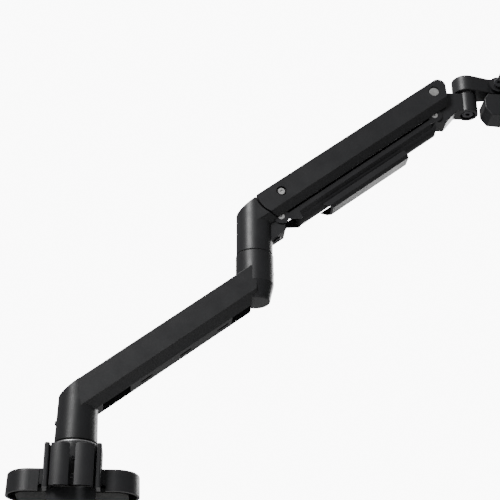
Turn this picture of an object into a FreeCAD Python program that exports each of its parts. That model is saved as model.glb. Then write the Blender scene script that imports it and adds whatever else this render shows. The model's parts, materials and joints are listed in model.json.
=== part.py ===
"""Sprung monitor arm with a desk clamp, as separate pieces on real joints.

Row frame, in millimetres: the origin is on the desk top, on the axis of the base swivel. +Z is up, +X is the
way both arms reach at rest and +Y points over the desk, away from its rear edge.
"""
import math
import os

import FreeCAD
import Part
import Sketcher

V = FreeCAD.Vector
DOC = FreeCAD.newDocument("monitor_arm")
SHEET = DOC.addObject("Spreadsheet::Sheet", "sizes")
NODES = []

# ---------------------------------------------------------------- driving dimensions
SIZES = {
    # clamp under the desk
    "steel_gauge": 4.0,
    "pad_gauge": 1.6,
    "flange_half_length": 66.0,
    "flange_half_depth": 22.5,
    "clamp_half_width": 28.5,
    "clamp_back": 36.0,
    "clamp_drop": 72.0,
    "jaw_half_width": 22.0,
    "jaw_level": 92.0,
    "jaw_boss_radius": 9.0,
    "desk_gauge": 30.0,
    "screw_radius": 4.95,
    "screw_bottom": 150.0,
    "knob_radius": 21.0,
    "knob_height": 17.0,
    "foot_radius": 20.0,
    "jaw_bolt_half_pitch": 14.0,
    "jaw_bolt_level": 50.0,
    "jaw_bolt_step": 12.0,
    # housing on the desk
    "wing_centre": 50.0,
    "wing_radius": 29.0,
    "wing_height": 27.5,
    "housing_radius": 33.5,
    "housing_top": 61.0,
    "housing_wall": 2.5,
    "fin_inner": 26.6,
    "fin_reach": 45.0,
    "fin_top": 54.0,
    "clip_back": 32.9,
    "clip_half_width": 25.2,
    "clip_reach": 50.0,
    "clip_slit": 3.0,
    "clip_top": 51.0,
    # base swivel
    "post_radius": 15.0,
    "post_top": 110.0,
    "collar_radius": 26.0,
    "base_seam": 64.0,
    "washer_gauge": 0.5,
    "base_bore": 17.0,
    "base_groove": 90.3,
    # lower arm
    "lower_slope": 37.1,
    "lower_reach": 217.8,
    "lower_top": 140.5,
    "arm_half_width": 24.25,
    "lower_depth": 52.0,
    "lower_chamfer": 11.2,
    "base_hub_radius": 26.0,
    "elbow_hub_radius": 24.8,
    "elbow_hub_bottom": 257.0,
    "elbow_seam": 323.0,
    "elbow_bore": 15.5,
    "elbow_groove": 298.6,
    "channel_half_width": 11.2,
    "cover_half_width": 12.4,
    "cover_gauge": 2.2,
    # elbow
    "elbow_shaft_radius": 13.5,
    "bracket_bottom": 323.6,
    "bracket_top": 400.4,
    "bracket_depth": 49.3,
    "bracket_chamfer": 10.6,
    "lift_x": 252.3,
    "lift_z": 410.5,
    "cup_radius": 36.0,
    "lug_half_width": 12.0,
    "link_drop": 32.7,
    "anchor_drop": 16.0,
    "spring_slot": 5.5,
    # upper arm and link
    "lift_slope": 37.6,
    "upper_length": 276.3,
    "upper_top": 14.7,
    "upper_side": 15.8,
    "upper_chamfer": 9.4,
    "upper_end_radius": 34.0,
    "tongue_slot": 12.7,
    "ear_slot": 14.15,
    "ear_inner": 12.3,
    "ear_outer": 13.9,
    "ear_radius": 10.8,
    "tube_radius": 10.3,
    "tube_centre": 10.8,
    "clip_length": 146.0,
    "clip_start": 56.6,
    # head
    "pan_offset": 51.7,
    "hub_radius": 14.5,
    "knuckle_radius": 18.8,
    "knuckle_top": 613.5,
    "knuckle_bottom": 589.5,
    "tilt_x": 567.0,
    "tilt_z": 601.5,
    "plate_x": 591.0,
    "plate_half": 60.0,
    "plate_gauge": 4.0,
    "vesa_large": 50.0,
    "vesa_small": 37.5,
    "vesa_hole": 2.25,
}


class Size:
    """A number that remembers the spreadsheet expression that it comes from."""

    def __init__(self, value, text=None):
        self.value = float(value)
        self.text = repr(float(value)) if text is None else text

    def _join(self, other, sign, value):
        other = as_size(other)
        return Size(value(self.value, other.value), f"({self.text} {sign} {other.text})")

    def __add__(self, other):
        return self._join(other, "+", lambda a, b: a + b)

    def __sub__(self, other):
        return self._join(other, "-", lambda a, b: a - b)

    def __mul__(self, other):
        return self._join(other, "*", lambda a, b: a * b)

    def __truediv__(self, other):
        return self._join(other, "/", lambda a, b: a / b)

    def __neg__(self):
        return Size(-self.value, f"(0 - {self.text})")

    def __radd__(self, other):
        return as_size(other) + self

    def __rsub__(self, other):
        return as_size(other) - self

    def __rmul__(self, other):
        return as_size(other) * self


def as_size(number):
    return number if isinstance(number, Size) else Size(number)


def size(name):
    """The cell of that name."""
    return Size(SIZES[name], f"sizes.{name}")


def tangent(angle):
    return Size(math.tan(math.radians(angle.value)), f"tan({angle.text})")


def cosine(angle):
    return Size(math.cos(math.radians(angle.value)), f"cos({angle.text})")


def fill_sheet():
    for row, (name, value) in enumerate(SIZES.items(), start=1):
        SHEET.set(f"A{row}", name)
        SHEET.set(f"B{row}", str(value))
        SHEET.setAlias(f"B{row}", name)
    DOC.recompute()


# ---------------------------------------------------------------- document helpers
class Circle:
    def __init__(self, x, y, radius):
        self.x, self.y, self.radius = as_size(x), as_size(y), as_size(radius)


def rectangle(left, bottom, right, top):
    return [(left, bottom), (right, bottom), (right, top), (left, top)]


def new_body(label, at=None):
    body = DOC.addObject("PartDesign::Body", label)
    body.Label = label
    if at is not None:
        body.Placement = at
    return body


def bind(sketch, kind, where, value):
    """A dimension of the sketch, or a point on an axis where the dimension is 0."""
    if kind != "Radius" and value.value == 0.0:
        axis = {"DistanceX": -2, "DistanceY": -1}[kind]
        sketch.addConstraint(Sketcher.Constraint("PointOnObject", *where, axis))
        return
    if kind == "Radius":
        index = sketch.addConstraint(Sketcher.Constraint(kind, where[0], value.value))
    else:
        index = sketch.addConstraint(Sketcher.Constraint(kind, -1, 1, *where, value.value))
    sketch.setExpression(f"Constraints[{index}]", value.text)


def arc_between(a, b, radius):
    """The minor arc from a to b; a positive radius turns left, a negative one right."""
    chord = b - a
    half = chord.Length / 2
    rise = abs(radius) - math.sqrt(radius * radius - half * half)
    side = V(chord.y, -chord.x, 0).normalize() * math.copysign(rise, radius)
    return Part.Arc(a, (a + b) / 2 + side, b)


def add_outline(sketch, points):
    """A closed outline. A point is (x, y), or (x, y, radius) where an arc arrives at it."""
    first = sketch.GeometryCount
    spots = [V(as_size(p[0]).value, as_size(p[1]).value, 0) for p in points]
    ends = []
    for i, spot in enumerate(spots):
        after = (i + 1) % len(points)
        radius = as_size(points[after][2]) if len(points[after]) == 3 else None
        if radius is None:
            sketch.addGeometry(Part.LineSegment(spot, spots[after]), False)
            ends.append((1, 2))
        else:
            sketch.addGeometry(arc_between(spot, spots[after], radius.value), False)
            ends.append((1, 2) if radius.value > 0 else (2, 1))
            length = radius if radius.value > 0 else -radius
            bind(sketch, "Radius", (first + i,), length)
    for i, point in enumerate(points):
        after = (i + 1) % len(points)
        sketch.addConstraint(
            Sketcher.Constraint("Coincident", first + i, ends[i][1], first + after, ends[after][0])
        )
        bind(sketch, "DistanceX", (first + i, ends[i][0]), as_size(point[0]))
        bind(sketch, "DistanceY", (first + i, ends[i][0]), as_size(point[1]))


def add_circle(sketch, circle):
    index = sketch.addGeometry(
        Part.Circle(V(circle.x.value, circle.y.value, 0), V(0, 0, 1), circle.radius.value), False
    )
    bind(sketch, "DistanceX", (index, 3), circle.x)
    bind(sketch, "DistanceY", (index, 3), circle.y)
    bind(sketch, "Radius", (index,), circle.radius)


def new_sketch(body, plane, loops, offset):
    """A sketch on one of the body's own planes, moved along the plane's normal by offset."""
    sketch = body.newObject("Sketcher::SketchObject", f"{body.Name}_sketch")
    role = [f for f in body.Origin.OriginFeatures if f.Role == f"{plane}_Plane"][0]
    sketch.AttachmentSupport = [(role, "")]
    sketch.MapMode = "FlatFace"
    sketch.setExpression("AttachmentOffset.Base.z", as_size(offset).text)
    for loop in loops:
        if isinstance(loop, Circle):
            add_circle(sketch, loop)
        else:
            add_outline(sketch, loop)
    return sketch


def add_feature(body, kind, plane, loops, offset=0):
    sketch = new_sketch(body, plane, loops, offset)
    feature = body.newObject(f"PartDesign::{kind}", f"{body.Name}_{kind.lower()}")
    feature.Profile = sketch
    return feature


def pad(body, plane, loops, length, offset=0, middle=False, taper=0, back=False):
    """XY grows along +Z, XZ along -Y and YZ along +X, or the other way with back."""
    feature = add_feature(body, "Pad", plane, loops, offset)
    feature.setExpression("Length", as_size(length).text)
    feature.SideType = "Symmetric" if middle else "One side"
    feature.TaperAngle = taper
    feature.Reversed = back
    DOC.recompute()
    return feature


def pocket(body, plane, loops, length, offset=0, middle=False, back=False):
    """A cut that runs the same way as pad's growth; it must take something away."""
    before = body.Shape.Volume
    feature = add_feature(body, "Pocket", plane, loops, offset)
    feature.setExpression("Length", as_size(length).text)
    feature.SideType = "Symmetric" if middle else "One side"
    feature.Reversed = not back
    DOC.recompute()
    if body.Shape.Volume > before - 0.01:
        raise RuntimeError(f"a pocket in {body.Label} cuts nothing")
    return feature


def revolve(body, outline, cut=False, plane="XZ"):
    """A turned shape about the body's own Z axis; the outline holds (radius, height)."""
    before = body.Shape.Volume if cut else 0
    feature = add_feature(body, "Groove" if cut else "Revolution", plane, [outline])
    feature.ReferenceAxis = (feature.Profile[0], ["V_Axis"])
    feature.Angle = 360
    DOC.recompute()
    if cut and body.Shape.Volume > before - 0.01:
        raise RuntimeError(f"a groove in {body.Label} cuts nothing")
    return feature


def middle_of(edge):
    return edge.valueAt((edge.FirstParameter + edge.LastParameter) / 2)


def soften(body, kind, length, test):
    """A Fillet or Chamfer on every edge whose middle point passes the test."""
    base = body.Tip
    names = [f"Edge{i}" for i, e in enumerate(base.Shape.Edges, 1) if test(middle_of(e), e)]
    if not names:
        raise RuntimeError(f"no edge of {body.Label} to soften")
    feature = body.newObject(f"PartDesign::{kind}", f"{body.Name}_{kind.lower()}")
    feature.Base = (base, names)
    key = "Radius" if kind == "Fillet" else "Size"
    feature.setExpression(key, as_size(length).text)
    DOC.recompute()
    return feature


def near(a, b, slack=0.05):
    return abs(a - b) < slack


def is_line(edge):
    return edge.Curve.TypeId == "Part::GeomLine"


def along(edge, axis):
    return is_line(edge) and abs(edge.Curve.Direction.dot(axis)) > 0.999


def group(label, bodies):
    """Identical pieces that share one node, as separate solids."""
    compound = DOC.addObject("Part::Compound", label)
    compound.Label = label
    compound.Links = bodies
    DOC.recompute()
    return compound


def node(shape):
    NODES.append(shape)
    return shape


def turned_to(direction, at):
    """The placement that takes a piece's own +Z to a direction, with its origin at a point."""
    return FreeCAD.Placement(at, FreeCAD.Rotation(V(0, 0, 1), direction))


def ring_body(label, inner, outer, bottom, top, at=None):
    """A washer or a bush."""
    body = new_body(label, at)
    pad(body, "XY", [Circle(0, 0, outer), Circle(0, 0, inner)], as_size(top) - bottom, offset=bottom)
    return body


def flanged_bush(label, inner, outer, flange, low, high, rim, at):
    """A plain bush from low to high with a thin flange on top."""
    body = ring_body(label, inner, outer, low, high, at)
    pad(body, "XY", [Circle(0, 0, flange), Circle(0, 0, inner)], rim, offset=high)
    return body


def hexagon(radius):
    return [(radius * math.cos(math.radians(60 * k)), radius * math.sin(math.radians(60 * k))) for k in range(6)]


def socket_screw(label, head_radius, head, shank_radius, length, key, at):
    """A cap screw: the head stands on the piece's own z = 0 and the shank runs down from it."""
    body = new_body(label, at)
    edge = 0.4
    outline = [(0, -length), (shank_radius - edge, -length), (shank_radius, edge - length),
               (shank_radius, 0), (head_radius, 0), (head_radius, head - edge),
               (head_radius - edge, head), (0, head)]
    revolve(body, outline)
    pocket(body, "XY", [hexagon(key)], head * 0.6, offset=head, back=True)
    return body


def set_screw(label, radius, length, key, at):
    """A headless screw whose outer end is the piece's own z = 0."""
    body = new_body(label, at)
    edge = 0.6
    revolve(body, [(0, -length), (radius - edge, -length), (radius, edge - length), (radius, -edge),
                   (radius - edge, 0), (0, 0)])
    pocket(body, "XY", [hexagon(key)], 3.0, back=True)
    return body


# ---------------------------------------------------------------- clamp
CLIP_SCREW_LEVELS = (16.0, 38.0)
POST_BOLT_PLACES = [(14.2 * a, 14.2 * b) for a in (-1, 1) for b in (-1, 1)]


def make_desk_pad():
    body = new_body("desk_pad")
    x, y = size("flange_half_length"), size("flange_half_depth")
    pad(body, "XY", [rectangle(-x, -y, x, y)], size("pad_gauge"))
    soften(body, "Fillet", 15.0, lambda p, e: along(e, V(0, 0, 1)))
    return node(body)


def make_clamp_bracket():
    """The bent steel plate: a wide flange on the desk and a leg down behind its edge."""
    body = new_body("clamp_bracket")
    x, y, gauge = size("flange_half_length"), size("flange_half_depth"), size("steel_gauge")
    leg, back, low = size("clamp_half_width"), size("clamp_back"), size("pad_gauge")
    pad(body, "XY", [rectangle(-x, -y, x, y)], gauge, offset=low)
    soften(body, "Fillet", 15.0, lambda p, e: along(e, V(0, 0, 1)))
    pad(body, "XY", [rectangle(-leg, -back, leg, -y + 0.5)], gauge, offset=low)
    pad(body, "XY", [rectangle(-leg, -back, leg, gauge - back)], size("clamp_drop") + low,
        offset=-size("clamp_drop"))
    soften(body, "Fillet", gauge - 0.2,
           lambda p, e: along(e, V(1, 0, 0)) and near(p.y, -back.value) and p.z > 5)
    soften(body, "Fillet", 5.0,
           lambda p, e: along(e, V(0, 1, 0)) and near(p.z, -SIZES["clamp_drop"]))
    holes = []
    for step in range(4):
        level = size("jaw_bolt_step") * (2 - step) - size("jaw_bolt_level")
        for side in (-1, 1):
            holes.append(Circle(size("jaw_bolt_half_pitch") * side, level, 3.0))
    pocket(body, "XZ", holes, gauge + 2, offset=back + 1, back=True)
    for bx, by in POST_BOLT_PLACES:
        cut_countersink(body, bx, by, low)
    return node(body)


def cut_countersink(body, x, y, bottom):
    """A screw hole with a cone at its lower end."""
    pocket(body, "XY", [Circle(x, y, 2.6)], size("steel_gauge") + 1, offset=bottom - 0.5)
    edges = lambda p, e: near(p.z, bottom.value) and near(math.hypot(p.x - x, p.y - y), 2.6)
    soften(body, "Chamfer", 2.1, edges)


def make_post_bolts():
    bolts = []
    for number, (x, y) in enumerate(POST_BOLT_PLACES):
        body = new_body(f"post_bolt_{number}", FreeCAD.Placement(V(x, y, SIZES["pad_gauge"]), FreeCAD.Rotation()))
        revolve(body, [(0, 0.1), (4.5, 0.1), (2.5, 2.1), (2.5, 8.4), (0, 8.4)])
        bolts.append(body)
    return node(group("post_bolts", bolts))


def make_lower_jaw():
    """The L-shaped jaw that carries the clamp screw; it bolts to the bracket at two heights."""
    body = new_body("lower_jaw")
    half, back, gauge = size("jaw_half_width"), size("clamp_back"), size("steel_gauge")
    level, boss = size("jaw_level"), size("jaw_boss_radius")
    tip = 14.0
    outline = [(-half, -back - gauge), (half, -back - gauge), (half, -20.0), (tip, 0), (-tip, 0, tip + 0.01),
               (-half, -20.0)]
    pad(body, "XY", [outline], gauge, offset=-level - gauge)
    pad(body, "XY", [rectangle(-half, -back - gauge, half, -back)], level - 40.0, offset=-level - 0.5)
    pad(body, "XY", [Circle(0, 0, boss)], 20.0, offset=-level - 12.0)
    pocket(body, "XY", [Circle(0, 0, size("screw_radius") + 0.06)], 30.0, offset=-level - 15.0)
    holes = []
    for step in (0, 1):
        level_z = -size("jaw_bolt_level") - size("jaw_bolt_step") * step
        for side in (-1, 1):
            holes.append(Circle(size("jaw_bolt_half_pitch") * side, level_z, 3.1))
    pocket(body, "XZ", holes, gauge + 2, offset=back + gauge + 1, back=True)
    soften(body, "Fillet", 3.8,
           lambda p, e: along(e, V(1, 0, 0)) and near(p.y, -back.value - gauge.value) and p.z < -90)
    soften(body, "Fillet", 6.0, lambda p, e: along(e, V(0, 1, 0)) and p.z > -45)
    return node(body)


def make_jaw_bolts():
    bolts = []
    outer = -SIZES["clamp_back"] - SIZES["steel_gauge"]
    for step in (0, 1):
        for side in (-1, 1):
            place = V(side * SIZES["jaw_bolt_half_pitch"], outer,
                      -SIZES["jaw_bolt_level"] - step * SIZES["jaw_bolt_step"])
            bolts.append(socket_screw(f"jaw_bolt_{step}_{side + 1}", 5.2, 3.2, 2.95, 7.8, 2.3,
                                      turned_to(V(0, -1, 0), place)))
    return node(group("jaw_bolts", bolts))


def make_clamp_screw():
    body = new_body("clamp_screw")
    radius, bottom = size("screw_radius"), size("screw_bottom")
    top = -size("desk_gauge") - size("pad_gauge") - size("steel_gauge") - 0.4
    neck = 4.24
    revolve(body, [(0, -bottom), (radius, -bottom), (radius, top - 7), (neck, top - 6), (neck, top - 1),
                   (neck - 1, top), (0, top)])
    return node(body)


def make_clamp_knob():
    """A six-lobed hand knob on the lower end of the clamp screw."""
    body = new_body("clamp_knob")
    radius, height, top = size("knob_radius"), size("knob_height"), -size("screw_bottom") + 12.0
    pad(body, "XY", [Circle(0, 0, radius)], height, offset=top - height)
    grips = [Circle(25.6 * math.cos(math.radians(60 * k)), 25.6 * math.sin(math.radians(60 * k)), 8.0)
             for k in range(6)]
    pocket(body, "XY", grips, height + 2, offset=top - height - 1)
    soften(body, "Fillet", 2.0, lambda p, e: not along(e, V(0, 0, 1)))
    pad(body, "XY", [Circle(0, 0, 9.5)], 6.0, offset=top - 1)
    pocket(body, "XY", [Circle(0, 0, size("screw_radius") + 0.02)], 17.05, offset=-size("screw_bottom") - 0.05)
    return node(body)


def make_pressure_plate():
    body = new_body("pressure_plate")
    radius, gauge = size("foot_radius"), size("steel_gauge")
    top = -size("desk_gauge") - size("pad_gauge")
    revolve(body, [(0, top - gauge), (4.3, top - gauge), (4.3, top - gauge - 5.2), (8.5, top - gauge - 5.2),
                   (8.5, top - gauge), (radius - 1, top - gauge), (radius, top - gauge + 1), (radius, top), (0, top)])
    return node(body)


def make_pressure_pad():
    body = new_body("pressure_pad")
    top = -size("desk_gauge")
    pad(body, "XY", [Circle(0, 0, size("foot_radius") - 0.6)], size("pad_gauge"), offset=top - size("pad_gauge"))
    return node(body)


# ---------------------------------------------------------------- base
def stadium(half_length, radius):
    """An oblong with round ends, as four points and four quarter arcs."""
    end = half_length + radius
    return [(-half_length, -radius, radius), (half_length, -radius), (end, 0, radius),
            (half_length, radius, radius), (-half_length, radius), (-end, 0, radius)]


def make_base_housing():
    """The moulded cover: two low wings, a round tower for the post and two fins beside the cable clip."""
    body = new_body("base_housing")
    centre, radius, height = size("wing_centre"), size("wing_radius"), size("wing_height")
    tower, top, wall = size("housing_radius"), size("housing_top"), size("housing_wall")
    fin, reach, foot = size("fin_inner"), size("fin_reach"), 0.5
    pad(body, "XY", [stadium(centre, radius)], height - foot, offset=foot, taper=-2.0)
    soften(body, "Fillet", 3.5, lambda p, e: near(p.z, height.value))
    pad(body, "XY", [Circle(0, 0, tower)], top - foot, offset=foot, taper=-1.2)
    fin_top = size("fin_top")
    for left, right in ((fin, fin + 6.8), (-fin - 6.8, -fin)):
        pad(body, "XY", [rectangle(left, -reach, right, -2.0)], fin_top - foot, offset=foot)
    soften(body, "Fillet", 2.8, lambda p, e: near(p.z, fin_top.value) and p.y < -28)
    soften(body, "Fillet", 2.2, lambda p, e: along(e, V(0, 0, 1)) and p.y < 0.1 - reach.value)
    soften(body, "Fillet", 4.5, lambda p, e: near(p.z, top.value) and not is_line(e))
    seat = size("clip_back") - 0.05
    pad(body, "XY", [rectangle(-12.0, -seat, 12.0, -27.0)], 44.0, offset=7.0)
    pocket(body, "XY", [rectangle(-fin, -seat - 3, fin, -seat)], fin_top, offset=foot - 0.1)
    pocket(body, "XY", [stadium(centre, radius - wall - 0.6)], 14.5, offset=foot - 0.1)
    pocket(body, "XY", [stadium(centre, radius - 7.5)], height - wall - 1.0, offset=foot - 0.1)
    pocket(body, "XY", [Circle(0, 0, tower - wall - 2.2)], top - foot - 4.0, offset=foot - 0.1)
    pocket(body, "XY", [Circle(0, 0, 22.0)], 12.0, offset=top - 8)
    leg = size("clamp_half_width") + 0.3
    passage = size("pad_gauge") + size("steel_gauge") + 0.4
    pocket(body, "XY", [rectangle(-leg, -size("clamp_back") - 0.3, leg, -20.0)], passage, offset=0)
    pocket(body, "XZ", [Circle(0, z, 1.62) for z in CLIP_SCREW_LEVELS], 8.0, offset=26.0)
    cut_edge_grooves(body, radius, height, foot)
    return node(body)


def cut_edge_grooves(body, radius, height, foot):
    """The upright recess on either side of the fins and the arched cable notch at its foot."""
    left, right = 34.4, 38.6
    mouth_left, mouth_right = 33.5, 39.1
    arch = (mouth_right - mouth_left) / 2 + 0.01
    for side in (-1, 1):
        a, b = sorted((side * left, side * right))
        pocket(body, "XZ", [rectangle(a, foot - 1, b, height + 2)], 2.4, offset=radius - 1.7)
        a, b = sorted((side * mouth_left, side * mouth_right))
        notch = [(a, foot - 1), (b, foot - 1), (b, 6.0), (a, 6.0, arch)]
        pocket(body, "XZ", [notch], 9.0, offset=radius - 7)


def make_base_post():
    body = new_body("base_post")
    radius, top, groove = size("post_radius"), size("post_top"), size("base_groove")
    low = size("pad_gauge") + size("steel_gauge")
    neck, flange = radius - 0.9, 26.0
    revolve(body, [(0, low), (flange, low), (flange, low + 4), (flange - 1, low + 5), (radius, low + 5),
                   (radius, groove - 4.2), (neck, groove - 3.3), (neck, groove + 3.3), (radius, groove + 4.2),
                   (radius, top - 1.5), (radius - 1.5, top), (0, top)])
    for x, y in POST_BOLT_PLACES:
        pocket(body, "XY", [Circle(x, y, 2.55)], 4.8, offset=low - 0.1)
    return node(body)


def make_base_collar():
    """The ring that shows under the swivel's seam."""
    body = new_body("base_collar")
    top, outer, bore = size("base_seam"), size("collar_radius"), size("post_radius") + 0.05
    revolve(body, [(bore, top - 12), (21.9, top - 12), (21.9, size("housing_top")), (outer, size("housing_top")),
                   (outer, top - 1.2), (outer - 1.2, top), (bore, top)])
    return node(body)


def make_rear_cable_clip():
    """A C-shaped cable guide whose two bowed flaps leave a slit to press cables through."""
    body = new_body("rear_cable_clip")
    half, reach, slit, wall = size("clip_half_width"), size("clip_reach"), size("clip_slit"), 2.2
    back, bow = size("clip_back"), 26.0
    outline = [(half, -back), (half, -reach), (slit, -reach - 2.6, -bow), (slit, wall - reach - 2.6),
               (half - wall, wall - reach, bow), (half - wall, -back - wall),
               (wall - half, -back - wall), (wall - half, wall - reach), (-slit, wall - reach - 2.6, bow),
               (-slit, -reach - 2.6), (-half, -reach, -bow), (-half, -back)]
    pad(body, "XY", [outline], size("clip_top") - 0.8, offset=0.8)
    soften(body, "Fillet", 3.0, lambda p, e: near(abs(p.x), slit.value) and along(e, V(0, 1, 0)) and p.z > 40)
    soften(body, "Fillet", 0.6, lambda p, e: along(e, V(0, 0, 1)) and p.y < -reach.value + 0.1)
    pocket(body, "XZ", [Circle(0, level, 1.7) for level in CLIP_SCREW_LEVELS], 6.0, offset=back - 2.0)
    below = size("pad_gauge") + size("steel_gauge") + 0.4
    pocket(body, "XY", [rectangle(-half - 2, -size("clamp_back") - 0.3, half + 2, -20.0)], below)
    return node(body)


def make_clip_screws():
    screws = []
    for number, level in enumerate(CLIP_SCREW_LEVELS):
        place = turned_to(V(0, -1, 0), V(0, -SIZES["clip_back"] - 2.2, level))
        screws.append(socket_screw(f"clip_screw_{number}", 2.8, 1.8, 1.6, 6.0, 1.2, place))
    return node(group("clip_screws", screws))


# ---------------------------------------------------------------- lower arm
def lower_line(x, level):
    """The height, at x, of a line that slopes as the lower arm does and passes level at the base axis."""
    return level + tangent(size("lower_slope")) * x


def make_lower_arm():
    """The casting: a swivel hub at each end of a sloping beam that is hollow underneath."""
    body = new_body("lower_arm")
    reach, top, half = size("lower_reach"), size("lower_top"), size("arm_half_width")
    under = top - size("lower_depth")
    seam = size("base_seam") + size("washer_gauge")
    beam = [(0, under), (reach, lower_line(reach, under)), (reach, lower_line(reach, top)), (0, top)]
    pad(body, "XZ", [beam], half * 2, middle=True)
    soften(body, "Chamfer", size("lower_chamfer"),
           lambda p, e: is_line(e) and near(abs(p.y), half.value) and p.z < 88.5 + 0.7563 * p.x + 1 and p.x > 1)
    soften(body, "Fillet", 1.2,
           lambda p, e: is_line(e) and near(abs(p.y), half.value) and near(p.z, 140.5 + 0.7563 * p.x, 0.5))
    hub = size("base_hub_radius")
    revolve_at(body, 0, [(0, seam), (hub - 0.8, seam), (hub, seam + 0.8), (half, lower_line(0, top) - 20),
                         (half, top + 0.5), (0, top + 0.5)])
    wedge = [(-40, lower_line(-40, top)), (0, top), (0, top + 30), (-40, top + 30)]
    pocket(body, "XZ", [wedge], half * 2 + 8, middle=True)
    end, low, elbow = size("elbow_hub_radius"), size("elbow_hub_bottom"), size("elbow_seam")
    pocket(body, "XZ", [rectangle(reach - 5.3, low - 20, reach + 1, low)], half * 2 + 8, middle=True)
    revolve_at(body, reach, [(0, low), (18.3, low), (19.6, low + 1.3), (end, low + 24), (end, elbow - 1),
                             (end - 1, elbow), (0, elbow)])
    revolve_at(body, 0, [(0, seam - 1), (size("base_bore"), seam - 1), (size("base_bore"), 114.0), (0, 114.0)], cut=True)
    revolve_at(body, reach, [(0, 262.0), (size("elbow_bore"), 262.0), (size("elbow_bore"), elbow + 1),
                             (0, elbow + 1)], cut=True)
    channel = size("channel_half_width")
    cut_channel(body, channel, 30.0, 198.0, -3.0, 34.0)
    cut_channel(body, size("cover_half_width"), 30.0, 212.0, -3.0, size("cover_gauge") + 0.1)
    shelf = [(197.0, lower_line(197.0, under) - 4), (212.0, lower_line(212.0, under) - 4), (212.0, low), (197.0, low)]
    pocket(body, "XZ", [shelf], channel * 2, middle=True)
    groove = size("base_groove")
    pocket(body, "YZ", [Circle(0, groove, 3.0)], 16.0, offset=-28.0)
    pocket(body, "YZ", [Circle(0, size("elbow_groove"), 3.0)], 16.0, offset=reach + 12.0)
    return node(body)


def revolve_at(body, x, outline, cut=False):
    """A turned shape about a vertical axis at x: the outline's radii are taken from that axis."""
    before = body.Shape.Volume
    moved = [(as_size(x) + point[0], *point[1:]) for point in outline]
    sketch = new_sketch(body, "XZ", [moved], 0)
    line = sketch.addGeometry(Part.LineSegment(V(as_size(x).value, 0, 0), V(as_size(x).value, 10, 0)), True)
    bind(sketch, "DistanceX", (line, 1), as_size(x))
    bind(sketch, "DistanceY", (line, 1), as_size(0))
    bind(sketch, "DistanceX", (line, 2), as_size(x))
    bind(sketch, "DistanceY", (line, 2), as_size(10))
    feature = body.newObject("PartDesign::Groove" if cut else "PartDesign::Revolution", f"{body.Name}_turned")
    feature.Profile = sketch
    feature.ReferenceAxis = (sketch, ["Axis0"])
    feature.Angle = 360
    DOC.recompute()
    if cut and body.Shape.Volume > before - 0.01:
        raise RuntimeError(f"a groove in {body.Label} cuts nothing")


def sloping_strip(start, end, low, high):
    """A four-sided outline under the beam, between two heights measured square to its bottom face."""
    under = size("lower_top") - size("lower_depth")
    lift = cosine(size("lower_slope"))
    bottom, top = under + as_size(low) / lift, under + as_size(high) / lift
    return [(start, lower_line(start, bottom)), (end, lower_line(end, bottom)),
            (end, lower_line(end, top)), (start, lower_line(start, top))]


def cut_channel(body, half_width, start, end, low, high):
    pocket(body, "XZ", [sloping_strip(start, end, low, high)], half_width * 2, middle=True)


def make_lower_cable_cover():
    """The strip that closes the middle of the channel, with three oblong slots."""
    body = new_body("lower_cable_cover")
    start, end, gauge = 63.0, 188.0, size("cover_gauge")
    half = size("cover_half_width") - 0.15
    pad(body, "XZ", [sloping_strip(start, end, 0, gauge)], half * 2, middle=True)
    rib = size("channel_half_width") - 0.15
    for side in (-1, 1):
        pad(body, "XZ", [sloping_strip(start + 4, end - 4, gauge - 0.2, gauge + 5)], 1.4,
            offset=rib - 1.4 if side > 0 else -rib)
    for centre in (82.0, 130.0, 179.0 - 2.5):
        slot = [(centre - 5, -2.6, 2.61), (centre + 5, -2.6), (centre + 5, 2.6, 2.61), (centre - 5, 2.6)]
        pocket(body, "XY", [slot], 60.0, offset=lower_line(centre, size("lower_top") - size("lower_depth")) - 30)
    return node(body)


def make_hub_screws():
    """The two set screws whose tips sit in the grooves of the post and of the elbow shaft."""
    base = set_screw("hub_screw_0", 2.95, 12.0, 1.5, turned_to(V(-1, 0, 0), V(-26.7, 0, SIZES["base_groove"])))
    elbow = set_screw("hub_screw_1", 2.95, 12.0, 1.5,
                      turned_to(V(1, 0, 0), V(SIZES["lower_reach"] + 25.1, 0, SIZES["elbow_groove"])))
    return node(group("hub_set_screws", [base, elbow]))


def make_base_bushes():
    inner, outer = size("post_radius") + 0.05, size("base_bore") - 0.02
    return node(group("base_bushes", [ring_body(f"base_bush_{k}", inner, outer, z, z + 14)
                                      for k, z in enumerate((66.0, 97.0))]))


def make_elbow_bushes():
    inner, outer = size("elbow_shaft_radius") + 0.05, size("elbow_bore") - 0.02
    at = FreeCAD.Placement(V(SIZES["lower_reach"], 0, 0), FreeCAD.Rotation())
    return node(group("elbow_bushes", [ring_body(f"elbow_bush_{k}", inner, outer, z, z + 16, at)
                                       for k, z in enumerate((266.0, 306.0))]))


def make_thrust_washers():
    base = ring_body("thrust_washer_0", size("post_radius") + 0.1, 23.4, size("base_seam"),
                     size("base_seam") + size("washer_gauge"))
    at = FreeCAD.Placement(V(SIZES["lower_reach"], 0, 0), FreeCAD.Rotation())
    elbow = ring_body("thrust_washer_1", size("elbow_shaft_radius") + 0.1, 22.2, size("elbow_seam"),
                      size("bracket_bottom"), at)
    return node(group("thrust_washers", [base, elbow]))


# ---------------------------------------------------------------- elbow
def make_elbow_shaft():
    at = FreeCAD.Placement(V(SIZES["lower_reach"], 0, 0), FreeCAD.Rotation())
    body = new_body("elbow_shaft", at)
    radius, groove = size("elbow_shaft_radius"), size("elbow_groove")
    low, top = 263.0, 357.0
    neck = radius - 0.9
    revolve(body, [(0, low), (radius - 1.5, low), (radius, low + 1.5), (radius, groove - 4.2),
                   (neck, groove - 3.3), (neck, groove + 3.3), (radius, groove + 4.2), (radius, top - 1),
                   (radius - 1, top), (0, top)])
    return node(body)


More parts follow.
